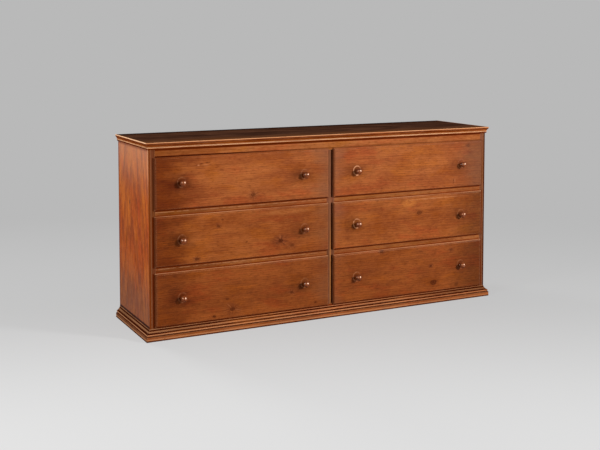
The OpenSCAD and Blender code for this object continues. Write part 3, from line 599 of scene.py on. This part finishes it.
# The upper face: its darkened ground, rings, grain and worn streaks, where it is used in front and dirty
# behind; its back edge; and the painted highlight on the arris at its left
TOP_LIGHT, TOP_DARK, TOP_RING, TOP_GRAIN, TOP_STREAK = "5C3A29", "44291D", "2C1811", "26140E", "7A523A"
TOP_USED, TOP_BEHIND, BACK_EDGE, LEFT_ARRIS_HIGHLIGHT = "7A4826", "1C0E08", "4A2408", "F0C49C"


def top_face(tree, colour, place):
    """The upper face, darkened by years of use, up to its worn edge, and a painted highlight on the left
    edge.
    """
    colour = moulding_face(tree, colour, place)
    # A painted highlight along the top of the left arris
    highlit_arris = facing(tree, (-1, 0, 0)), beside(tree, place["z"], TOP_Z, 4.0, 2.2)
    colour = coat(tree, colour, LEFT_ARRIS_HIGHLIGHT, *highlit_arris, 0.9)
    dark = coat(tree, TOP_LIGHT, TOP_DARK, put(tree, "MapRange", place["patch"], 0.35, 0.65, **EASED))
    for paint, pattern, low, high, full in (
        (TOP_RING, place["late"], 0.1, 1.0, 0.6),
        (TOP_GRAIN, place["streak"], 0.5, 0.66, 0.6),
        (TOP_STREAK, place["streak"], 0.46, 0.32, 0.45),
        (TOP_GRAIN, place["mottle"], 0.5, 0.75, 0.4),
        (TOP_GRAIN, place["blot"], 0.55, 0.8, 0.5),
    ):
        dark = coat(tree, dark, paint, put(tree, "MapRange", pattern, low, high, 0.0, full, **EASED))
    near = put(tree, "MapRange", place["y"], TOP_FRONT_Y + 150, TOP_FRONT_Y, 0.0, 0.6, **EASED)
    patchy = put(tree, "MapRange", place["patch"], 0.35, 0.6, 0.4, 1.0, **EASED)
    dark = coat(tree, dark, TOP_USED, near, patchy)
    back = put(tree, "MapRange", place["y"], TOP_BACK_Y - 100, TOP_BACK_Y - 10, 0.0, 0.7, **EASED)
    dark = coat(tree, dark, TOP_BEHIND, back)
    out = put(tree, "Math", place["x"], operation="ABSOLUTE")
    side_edges = put(tree, "MapRange", out, TOP_SIDE_X - 7, TOP_SIDE_X - 2, **EASED)
    front_edge = put(tree, "MapRange", place["y"], TOP_FRONT_Y + 5, TOP_FRONT_Y + 1.5, **EASED)
    rubbed = put(tree, "Math", front_edge, side_edges, operation="MAXIMUM")
    broken = put(tree, "MapRange", place["streak"], 0.34, 0.5, 0.5, 0.9, **EASED)
    dark = coat(tree, dark, WORN_AND_HIGHLIGHT, rubbed, broken)
    colour = coat(tree, colour, BACK_EDGE, facing(tree, (0, 1, 0), 0.8, 0.95), 0.7)
    return coat(tree, colour, dark, facing(tree, (0, 0, 1), 0.6, 0.9))


dress(["top_board"], stained_pine(
    "stained pine top board", X, Y, FRONT_MOULDING, (200, 150, 0), rings=(150, 160, 10.0, 0.03),
    shade=top_face, wear=0.3, hollow_grime=0.8, alone=False, specular=0.0,
))


# Bare pine: planed or sawn and never finished. It gives the eye a dry yellow-brown with soft rings, streaks
# and dust.
PLANED, SAWN, DUST = ("C89E6A", "A87E4E", "7E5630"), ("A8845A", "866644", "4E3420"), "3E2814"
# How far along and across the wood one board of a row lies from the next, in mm
NEXT_BOARD = (1370, 61)


def bare_pine(name, along, across, shift, tones=PLANED, knots=(), boards=None, shade=None):
    """tones are (light, middle, dark); boards is (lowest edge, width) of a row, each board its own wood."""
    material, tree = start(name)
    where, home, xyz = board_place(tree, along, across, shift)
    place = {"home": home, "x": xyz[X], "y": xyz[Y], "z": xyz[Z]}
    if boards:
        lowest, wide = boards
        up = put(tree, "Math", xyz[across], lowest, operation="SUBTRACT")
        up = put(tree, "Math", up, wide, operation="DIVIDE")
        number = put(tree, "Math", up, operation="FLOOR")
        place["share"] = put(tree, "Math", up, number, operation="SUBTRACT")
        own = put(tree, "CombineXYZ", number, number)
        own = put(tree, "VectorMath", own, (*NEXT_BOARD, 0), operation="MULTIPLY")
        where = put(tree, "VectorMath", where, own, operation="ADD")
    late = growth_rings(tree, where, (60, 150, 7.0, 0.04), knots)
    # Fibres are drawn coarser here too, at 1.5 mm
    fibre = cloud(tree, where, (70, 1.5, 1.5), 3.0, 0.6)
    streak = cloud(tree, where, (260, 8, 8), 4.0, 0.65)
    patch = cloud(tree, where, (380, 70, 70), 3.0, 0.6)
    place.update(streak=streak, patch=patch)
    light, middle, dark = tones
    colour = coat(tree, light, middle, put(tree, "MapRange", patch, 0.36, 0.64, **EASED))
    for paint, pattern, low, high, full in (
        (dark, late, 0.0, 1.0, 0.6),
        (dark, streak, 0.5, 0.7, 0.6),
        (light, streak, 0.46, 0.3, 0.5),
        (dark, fibre, 0.45, 0.8, 0.4),
    ):
        colour = coat(tree, colour, paint, put(tree, "MapRange", pattern, low, high, 0.0, full, **EASED))
    if knots:
        colour = lay_knots(tree, colour, where, knots)
    if shade:
        colour = shade(tree, colour, place)
    edge, hollow, rounded = edges_and_hollows(tree, 0.002, 0.012, True)
    colour = coat(tree, colour, END_GRAIN, cut_across(tree, along), 0.8)
    colour = coat(tree, colour, DUST, hollow, 0.55)
    colour = coat(tree, colour, light, edge, 0.4)
    height = put(tree, "Math", fibre, 0.6, late, operation="MULTIPLY_ADD")
    bump = {"Strength": 1.0, "Distance": 0.0003, "Height": height, "Normal": rounded}
    relief = put(tree, "Bump", sockets=bump)
    rough = put(tree, "MapRange", fibre, 0.2, 0.8, 0.6, 0.8, **EASED)
    finish = {"Base Color": colour, "Roughness": rough, "Normal": relief}
    finish.update({"IOR": WOOD_IOR, "Specular IOR Level": 0.2})
    put(tree, "OutputMaterial", put(tree, "BsdfPrincipled", sockets=finish))
    return material


drawer_sides = [f"{drawer}_{side}_side" for drawer in DRAWERS for side in BANKS]
bottoms = [f"{drawer}_bottom" for drawer in DRAWERS] + ["bottom_board"]
dress(drawer_sides, bare_pine("bare pine drawer sides", Y, Z, (30, 60, 0)))
dress([f"{drawer}_back" for drawer in DRAWERS], bare_pine("bare pine drawer backs", X, Z, (30, 160, 0)))
dress(bottoms, bare_pine("bare pine bottoms", X, Y, (70, 60, 0)))
dress(["drawer_runners", "drawer_guides"], bare_pine("bare pine runners", Y, X, (30, 60, 0)))
dress(["centre_partition"], bare_pine("bare pine partition", Z, Y, (30, 60, 0)))

# The back boards, and their knots as (board, x, share of its width, half width, darkness, length of rays)
BACK_BOARDS = 4
BACK_LOW, BACK_HIGH = corners("back_boards")
BACK_WIDE = (BACK_HIGH.z - BACK_LOW.z) / BACK_BOARDS
BACK_KNOTS = [
    (0, -520, 0.4, 13, 0.9, 2.4), (0, 310, 0.7, 9, 0.8, 0),
    (1, -90, 0.3, 15, 0.9, 0), (1, 640, 0.55, 8, 0.8, 2.4),
    (2, -700, 0.6, 10, 0.8, 0), (2, 180, 0.25, 16, 1.0, 2.4),
    (3, -330, 0.65, 12, 0.9, 2.4), (3, 470, 0.4, 9, 0.7, 0),
]
# A circular saw leaves arcs some 3 mm apart: drawn 15 mm apart, so that they show, round a place to one side
SAW_STEP, SAW_X = 15, -2600
# How far the nails stand from the ends of the boards in mm, and from their edges as a share of the width
NAIL_INSET, NAIL_SHARE = 5, 0.25
SAW_MARK, RUST, JOINT_DIRT, DAMP = "4A3422", "3A1C0C", "180C04", "3A2A1C"


def back_face(tree, colour, place):
    """Marks of the saw, rust round the nails, dirt in the joints between boards, and damp near the floor."""
    arc, _ = off_from(tree, place["home"], (SAW_X, BACK_LOW.z), (SAW_STEP, SAW_STEP))
    arc = put(tree, "Math", place["patch"], 2.0, arc, operation="MULTIPLY_ADD")
    arc = put(tree, "Math", arc, operation="FRACT")
    left = put(tree, "MapRange", place["streak"], 0.4, 0.56, **EASED)
    colour = coat(tree, colour, SAW_MARK, beside(tree, arc, 0.5, 0.4), left, 0.12)
    # Nails stand at both ends and in the middle, below and above the middle line of each board
    off_middle = put(tree, "Math", place["share"], 0.5, operation="SUBTRACT")
    off_middle = put(tree, "Math", off_middle, operation="ABSOLUTE")
    up = put(tree, "Math", off_middle, NAIL_SHARE, operation="SUBTRACT")
    up = put(tree, "Math", up, BACK_WIDE, operation="MULTIPLY")
    out = put(tree, "Math", place["x"], operation="ABSOLUTE")
    to_end = put(tree, "Math", out, BACK_HIGH.x - NAIL_INSET, operation="SUBTRACT")
    to_end = put(tree, "Math", to_end, operation="ABSOLUTE")
    nail = put(tree, "CombineXYZ", put(tree, "Math", out, to_end, operation="MINIMUM"), up)
    far = put(tree, "VectorMath", nail, operation="LENGTH", out="Value")
    colour = coat(tree, colour, RUST, put(tree, "MapRange", far, 3.0, 15.0, 0.9, 0.0, **EASED))
    joint = put(tree, "MapRange", off_middle, 0.5 - 4.5 / BACK_WIDE, 0.5 - 1.5 / BACK_WIDE, **EASED)
    colour = coat(tree, colour, JOINT_DIRT, joint, 0.95)
    damp = put(tree, "Math", place["patch"], 120.0, place["z"], operation="MULTIPLY_ADD")
    return coat(tree, colour, DAMP, put(tree, "MapRange", damp, 160, 90, 0.0, 0.6, **EASED))


back_knots = [
    (x + board * NEXT_BOARD[0], BACK_LOW.z + (board + share) * BACK_WIDE + board * NEXT_BOARD[1], *rest)
    for board, x, share, *rest in BACK_KNOTS
]
dress(["back_boards"], bare_pine(
    "sawn pine back boards", X, Z, (0, 0, 0), SAWN, back_knots, boards=(BACK_LOW.z, BACK_WIDE),
    shade=back_face,
))


MAPLE_LIGHT, MAPLE_DARK, MAPLE_FIBRE = "74340F", "4A1C06", "9A5830"
# Painted highlights on the knobs' domes
DOME_HIGHLIGHT, LEFT_DOME_HIGHLIGHT = "FFCCA8", "C48C68"


def turned_maple():
    """Turned maple: hard, fine, dark with handling. It gives the eye a small dark form with a sharp light."""
    material, tree = start("turned maple knobs")
    where, _, _ = board_place(tree, Y, X)
    fibre = cloud(tree, where, (30, 2, 2), 3.0, 0.6)
    blot = cloud(tree, where, (14, 9, 9), 3.0, 0.6)
    colour = coat(tree, MAPLE_LIGHT, MAPLE_DARK, put(tree, "MapRange", blot, 0.35, 0.65, **EASED))
    colour = coat(tree, colour, MAPLE_FIBRE, put(tree, "MapRange", fibre, 0.4, 0.7, 0.0, 0.35, **EASED))
    # Painted highlights on the dome: a strong one at its upper right and a weak one at its upper left
    colour = coat(tree, colour, DOME_HIGHLIGHT, facing(tree, (0.2, -0.92, 0.33), 0.96, 0.99), 0.85)
    colour = coat(tree, colour, LEFT_DOME_HIGHLIGHT, facing(tree, (-0.5, -0.8, 0.33), 0.96, 0.99), 0.5)
    rough = put(tree, "MapRange", blot, 0.3, 0.7, 0.3, 0.42, **EASED)
    relief = put(tree, "Bump", sockets={"Strength": 1.0, "Distance": 0.0001, "Height": fibre})
    finish = {"Base Color": colour, "Roughness": rough, "Normal": relief}
    finish.update({"IOR": WOOD_IOR, "Specular IOR Level": 0.05})
    finish.update({"Coat Weight": 0.25, "Coat Roughness": 0.1, "Coat IOR": WOOD_IOR})
    put(tree, "OutputMaterial", put(tree, "BsdfPrincipled", sockets=finish))
    return material


dress([f"{drawer}_knobs" for drawer in DRAWERS], turned_maple())


IRON, RUSTY_IRON = "2E2925", "5B3320"


def cut_iron():
    """Cut nails: iron, dull with rust. It gives the eye a matt brown-black speck."""
    material, tree = start("cut iron nails")
    where, _, _ = board_place(tree, X, Z)
    rust = cloud(tree, where, (2, 2, 2), 3.0, 0.6)
    colour = coat(tree, IRON, RUSTY_IRON, put(tree, "MapRange", rust, 0.4, 0.6, **EASED))
    rough = put(tree, "MapRange", rust, 0.3, 0.7, 0.5, 0.85, **EASED)
    finish = {"Base Color": colour, "Metallic": 0.6, "Roughness": rough}
    put(tree, "OutputMaterial", put(tree, "BsdfPrincipled", sockets=finish))
    return material


dress(["cut_nails"], cut_iron())


def seen_directly(tree):
    """1 where the camera, a mirror or clear glass shows a surface itself, 0 where it only gives light."""
    ray = put(tree, "LightPath", out=None)
    seen = put(tree, "Math", ray["Is Camera Ray"], ray["Is Glossy Ray"], operation="MAXIMUM")
    return put(tree, "Math", seen, ray["Is Transmission Ray"], operation="MAXIMUM")


# The backdrop as the camera sees it, and the even light that it gives; the floor's greys, the centre of the
# pool of light painted on it, and its half size in metres
BACKDROP, EVEN_LIGHT = "B9B9B9", "898989"
FLOOR_NEAR, FLOOR_MIDDLE, LIGHT_POOL_CENTRE, FLOOR_HALF = "DCDCDC", "C6C6C6", (-1.71, -3.29, 0.0), 90.0


def studio_floor():
    """Pale paper with a painted pool of light in front of the counter, reaching the backdrop's grey further
    off.
    """
    mesh = bpy.data.meshes.new("studio_floor")
    square = [(x * FLOOR_HALF, y * FLOOR_HALF, 0) for x, y in ((-1, -1), (1, -1), (1, 1), (-1, 1))]
    mesh.from_pydata(square, [], [(0, 1, 2, 3)])
    floor = bpy.data.objects.new("studio_floor", mesh)
    bpy.context.scene.collection.objects.link(floor)
    material, tree = start("pale paper floor")
    spot = put(tree, "TexCoord", out="Object")
    off = put(tree, "VectorMath", spot, LIGHT_POOL_CENTRE, operation="SUBTRACT")
    far = put(tree, "VectorMath", off, operation="LENGTH", out="Value")
    # A painted pool of light in front of the counter, fading to the backdrop's grey
    tone = coat(tree, FLOOR_NEAR, FLOOR_MIDDLE, put(tree, "MapRange", far, 2.1, 4.0, **EASED))
    tone = coat(tree, tone, BACKDROP, put(tree, "MapRange", far, 3.4, 6.5, **EASED))
    paper = put(tree, "BsdfDiffuse", sockets={"Color": tone})
    glow = put(tree, "Emission", sockets={"Color": tone, "Strength": 1.0})
    unshaded = put(tree, "MapRange", far, 3.0, 6.5, 0.76, 1.0, **EASED)
    share = put(tree, "Math", seen_directly(tree), unshaded, operation="MULTIPLY")
    put(tree, "OutputMaterial", put(tree, "MixShader", share, paper, glow))
    mesh.materials.append(material)


def studio_lights():
    """Large soft lamps: a key in front on the right, a fill on the left, one behind, and an even world."""
    world = bpy.data.worlds.new("studio")
    bpy.context.scene.world = world
    world.use_nodes = True
    tree = world.node_tree
    tree.nodes.clear()
    colour = coat(tree, EVEN_LIGHT, BACKDROP, seen_directly(tree))
    put(tree, "OutputWorld", put(tree, "Background", colour, 1.0))
    # Name, place, what it is aimed at, side length in metres, power in watts
    for name, place, aim, size, power in (
        ("key_softbox", (3.7, -4.5, 2.5), (0.1, -0.1, 0.45), 0.9, 390),
        ("left_softbox", (-3.7, -1.3, 2.0), (-0.7, 0.0, 0.45), 1.0, 85),
        ("back_softbox", (-1.8, 4.6, 1.9), (0.0, 0.2, 0.4), 1.6, 190),
    ):
        lamp = bpy.data.lights.new(name, "AREA")
        lamp.shape, lamp.size, lamp.energy = "SQUARE", size, power
        holder = bpy.data.objects.new(name, lamp)
        way = [a - b for a, b in zip(aim, place)]
        holder.location = place
        tilt = math.atan2(math.hypot(way[0], way[1]), -way[2])
        holder.rotation_euler = (tilt, 0, math.atan2(-way[0], way[1]))
        bpy.context.scene.collection.objects.link(holder)


# The photograph's viewpoint, fitted to its corners and lines: lens and sensor in mm, place in metres, degrees
LENS, SENSOR, SHIFT, EYE, DOWNWARD, TURNED = 60.77, 36.0, -0.2, (-2.1708, -4.2201, 1.2676), 3.722, 26.61


def photo_camera():
    """A little over the counter's height, turned to its front and left side, with some vertical shift."""
    data = bpy.data.cameras.new("photo_camera")
    data.lens, data.sensor_width, data.shift_y = LENS, SENSOR, SHIFT
    camera = bpy.data.objects.new("photo_camera", data)
    camera.location = EYE
    camera.rotation_euler = (math.radians(90 - DOWNWARD), 0, math.radians(-TURNED))
    bpy.context.scene.collection.objects.link(camera)
    bpy.context.scene.camera = camera


studio_floor()
studio_lights()
photo_camera()
bpy.context.scene.view_settings.view_transform = "Standard"

bpy.context.view_layer.update()
